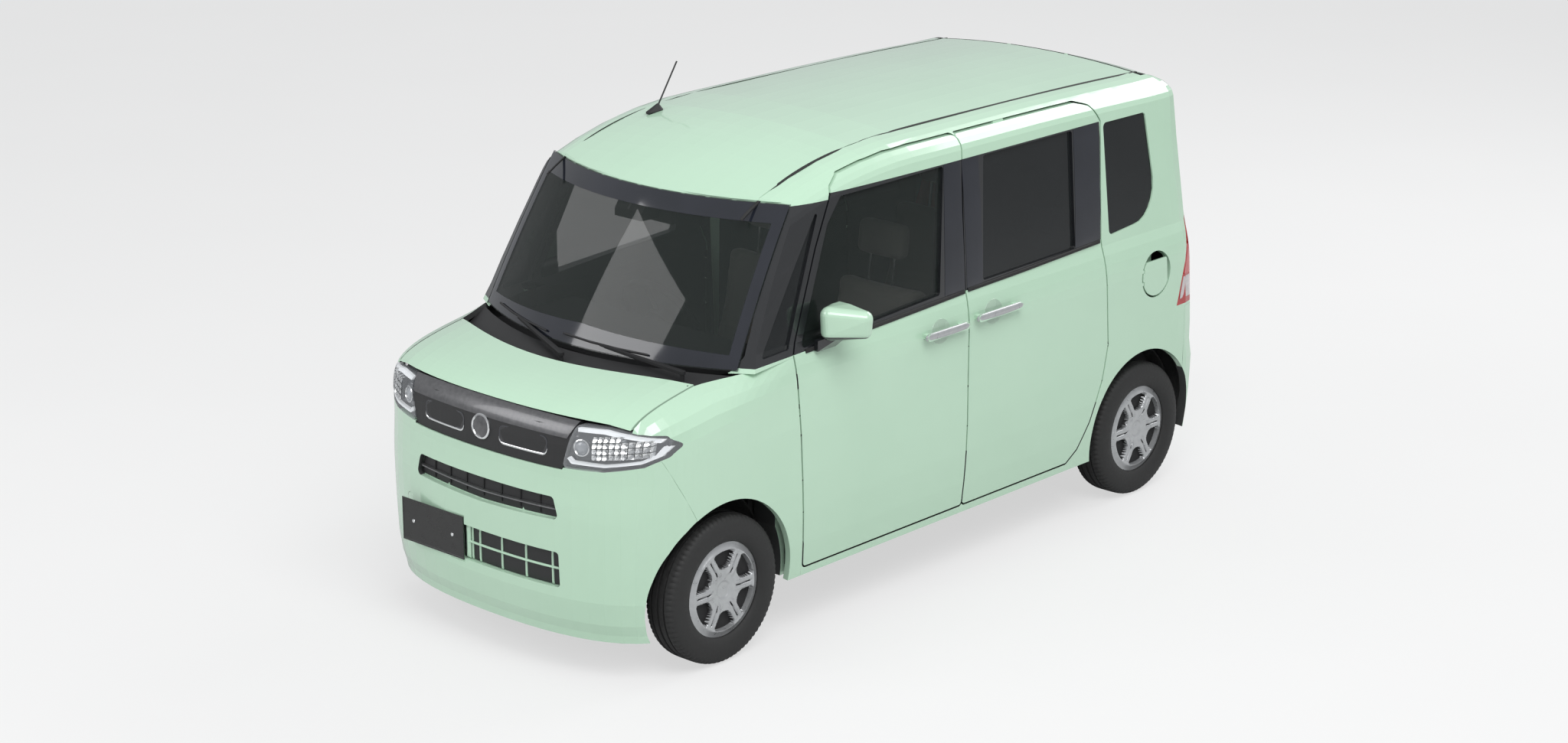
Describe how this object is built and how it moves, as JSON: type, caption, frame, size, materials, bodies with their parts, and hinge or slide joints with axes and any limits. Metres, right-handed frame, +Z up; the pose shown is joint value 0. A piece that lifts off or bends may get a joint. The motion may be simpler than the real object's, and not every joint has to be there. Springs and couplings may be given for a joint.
{
  "type": "small tall city car",
  "caption": "Tall boxy small car with hinged front doors, rear sliding doors set closed, bonnet, tailgate, fuel flap, free-turning wheels and front steering",
  "frame": {"origin": "on the floor, under the middle of the body", "axes": "+X forward, +Y to the car's left, +Z up"},
  "size_m": [3.395, 1.7944, 1.894],
  "materials": {
    "body_paint": "gloss mint green",
    "clear_glass": "lightly green tint",
    "tinted_glass": "privacy tint",
    "black_plastic": "fine grain black",
    "seat_fabric": "woven beige grey",
    "lamp_cover": "clear over grey housing",
    "red_lamp": "clear red",
    "tyre": "matt",
    "wheel_silver": "silver lacquer",
    "engine_metal": "cast",
    "under_metal": "satin black"
  },
  "bodies": {
    "body_shell": {"floor_pan": "under_metal", "body_side_left": "body_paint", "body_side_right": "body_paint", "roof": "body_paint", "windscreen": "clear_glass", "fixed_side_glass": "tinted_glass", "front_fenders": "body_paint", "front_bumper": "body_paint", "grille": "black_plastic", "headlamps": "lamp_cover", "cowl": "black_plastic", "front_wipers": "black_plastic", "antenna": "black_plastic", "sliding_door_left": "body_paint", "sliding_door_right": "body_paint", "rear_bumper": "body_paint", "tail_lamps": "red_lamp", "dashboard": "black_plastic", "cabin_mirror": "black_plastic", "front_seats": "seat_fabric", "rear_seat": "seat_fabric", "engine": "engine_metal", "front_subframe": "under_metal", "rear_axle": "under_metal", "fuel_tank": "under_metal", "exhaust": "under_metal"},
    "front_door_left": {"front_door_left": "body_paint", "front_door_glass_left": "clear_glass", "door_mirror_left": "body_paint"},
    "front_door_right": {"front_door_right": "body_paint", "front_door_glass_right": "clear_glass", "door_mirror_right": "body_paint"},
    "bonnet": {"bonnet": "body_paint"},
    "tailgate": {"tailgate": "body_paint", "tailgate_glass": "tinted_glass", "rear_wiper": "black_plastic"},
    "fuel_flap": {"fuel_flap": "body_paint"},
    "knuckle_left": {"knuckle_left": "under_metal"},
    "knuckle_right": {"knuckle_right": "under_metal"},
    "steering_wheel": {"steering_wheel": "black_plastic"},
    "wheel_front_left": {"wheel_front_left": "wheel_silver", "tyre_front_left": "tyre"},
    "wheel_front_right": {"wheel_front_right": "wheel_silver", "tyre_front_right": "tyre"},
    "wheel_rear_left": {"wheel_rear_left": "wheel_silver", "tyre_rear_left": "tyre"},
    "wheel_rear_right": {"wheel_rear_right": "wheel_silver", "tyre_rear_right": "tyre"}
  },
  "joints": [
    {"name": "front_door_left_hinge", "type": "hinge", "parent": "body_shell", "child": "front_door_left", "pos_m": [0.7725, 0.71983, 0.655], "axis": [0, 0, -1], "range_deg": [0, 65]},
    {"name": "front_door_right_hinge", "type": "hinge", "parent": "body_shell", "child": "front_door_right", "pos_m": [0.7725, -0.71983, 0.655], "axis": [0, 0, 1], "range_deg": [0, 65]},
    {"name": "bonnet_hinge", "type": "hinge", "parent": "body_shell", "child": "bonnet", "pos_m": [1.2364, 0, 1.02253], "axis": [0, -1, 0], "range_deg": [0, 60]},
    {"name": "tailgate_hinge", "type": "hinge", "parent": "body_shell", "child": "tailgate", "pos_m": [-1.4775, 0, 1.72315], "axis": [0, 1, 0], "range_deg": [0, 85]},
    {"name": "fuel_flap_hinge", "type": "hinge", "parent": "body_shell", "child": "fuel_flap", "pos_m": [-1.2525, 0.7335, 0.93], "axis": [0, 0, -1], "range_deg": [0, 90]},
    {"name": "steering_left", "type": "hinge", "parent": "body_shell", "child": "knuckle_left", "pos_m": [1.1845, 0.632, 0.18], "axis": [-0.0253, -0.2006, 0.9793], "range_deg": [-35, 35]},
    {"name": "steering_right", "type": "hinge", "parent": "body_shell", "child": "knuckle_right", "pos_m": [1.1845, -0.632, 0.18], "axis": [-0.0253, 0.2006, 0.9793], "range_deg": [-35, 35]},
    {"name": "steering_wheel_turn", "type": "hinge", "parent": "body_shell", "child": "steering_wheel", "pos_m": [0.4225, -0.33, 0.915], "axis": [-0.8829, 0, 0.4695], "range_deg": [-525, 525]},
    {"name": "wheel_front_left_spin", "type": "hinge", "parent": "knuckle_left", "child": "wheel_front_left", "pos_m": [1.1825, 0.65, 0.2785], "axis": [0, 1, 0], "continuous": true},
    {"name": "wheel_front_right_spin", "type": "hinge", "parent": "knuckle_right", "child": "wheel_front_right", "pos_m": [1.1825, -0.65, 0.2785], "axis": [0, 1, 0], "continuous": true},
    {"name": "wheel_rear_left_spin", "type": "hinge", "parent": "body_shell", "child": "wheel_rear_left", "pos_m": [-1.2775, 0.65, 0.2785], "axis": [0, 1, 0], "continuous": true},
    {"name": "wheel_rear_right_spin", "type": "hinge", "parent": "body_shell", "child": "wheel_rear_right", "pos_m": [-1.2775, -0.65, 0.2785], "axis": [0, 1, 0], "continuous": true}
  ],
  "couplings": [
    {"joint": "steering_right", "follows": "steering_left", "ratio": 1},
    {"joint": "steering_wheel_turn", "follows": "steering_left", "ratio": 15}
  ]
}
